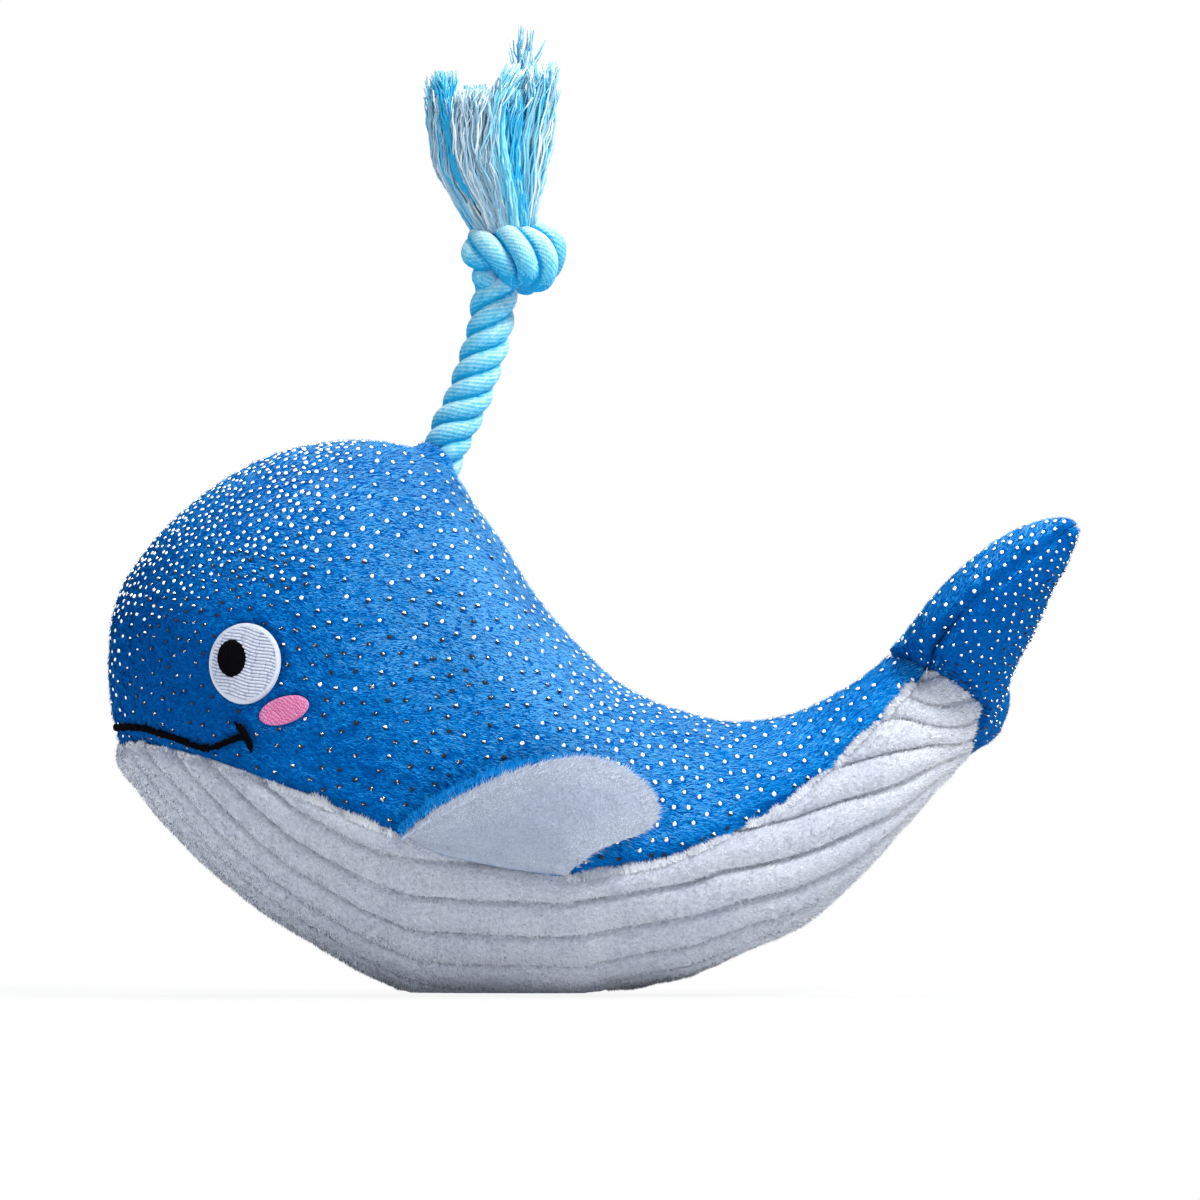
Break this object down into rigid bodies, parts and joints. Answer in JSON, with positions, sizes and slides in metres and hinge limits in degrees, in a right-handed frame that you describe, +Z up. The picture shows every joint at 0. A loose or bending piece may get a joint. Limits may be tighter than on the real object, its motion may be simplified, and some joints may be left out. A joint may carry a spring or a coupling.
{
  "type": "plush whale toy",
  "caption": "Stuffed plush whale with a sparkle-dotted blue back, ribbed white belly, folding fins, flexing fluke and a knotted, frayed rope spout.",
  "frame": {"origin": "on the flat patch of belly that the whale rests on", "axes": "+X from head to tail, -X towards the head, +Z up, -Y the whale's left side, which the picture shows"},
  "size_m": [0.2769, 0.1345, 0.2636],
  "materials": {
    "blue_plush": "short soft pile with small bright foil dots",
    "white_plush": "short soft pile, in wide ribs on the belly",
    "filling": "loose polyester fibre",
    "white_thread": "satin embroidery",
    "black_thread": "satin embroidery",
    "pink_thread": "satin embroidery",
    "rope": "soft laid cotton",
    "squeaker_plastic": "soft blown plastic"
  },
  "bodies": {
    "body": {"back_panel_left": "blue_plush", "back_panel_right": "blue_plush", "belly_panel": "white_plush", "body_stuffing": "filling", "squeaker_bulb": "squeaker_plastic", "squeaker_reed": "squeaker_plastic", "rope_anchor": "rope", "eye_white_left": "white_thread", "eye_pupil_left": "black_thread", "cheek_left": "pink_thread", "eye_white_right": "white_thread", "eye_pupil_right": "black_thread", "cheek_right": "pink_thread", "mouth_stitching": "black_thread"},
    "fin_left": {"fin_upper_left": "blue_plush", "fin_under_left": "white_plush"},
    "fin_right": {"fin_upper_right": "blue_plush", "fin_under_right": "white_plush"},
    "fluke": {"fluke_upper_panel": "blue_plush", "fluke_under_panel": "blue_plush", "fluke_stuffing": "filling"},
    "rope": {"rope_spout": "rope", "rope_knot": "rope", "rope_tassel": "rope"}
  },
  "joints": [
    {"name": "fin_left_flap", "type": "hinge", "parent": "body", "child": "fin_left", "pos_m": [-0.03392, -0.04872, 0.04441], "axis": [0.9746, 0, -0.2241], "range_deg": [0, 110], "stiffness_Nm_per_rad": 0.01},
    {"name": "fin_right_flap", "type": "hinge", "parent": "body", "child": "fin_right", "pos_m": [-0.03392, 0.04872, 0.04441], "axis": [-0.9746, 0, 0.2241], "range_deg": [0, 110], "stiffness_Nm_per_rad": 0.01},
    {"name": "fluke_flex", "type": "hinge", "parent": "body", "child": "fluke", "pos_m": [0.10653, 0.00561, 0.07781], "axis": [0.1853, -0.8302, 0.5258], "range_deg": [-12, 12], "stiffness_Nm_per_rad": 0.4},
    {"name": "rope_sway", "type": "hinge", "parent": "body", "child": "rope", "pos_m": [-0.02385, 0, 0.1501], "axis": [0, 1, 0], "range_deg": [-15, 15], "stiffness_Nm_per_rad": 0.5}
  ]
}
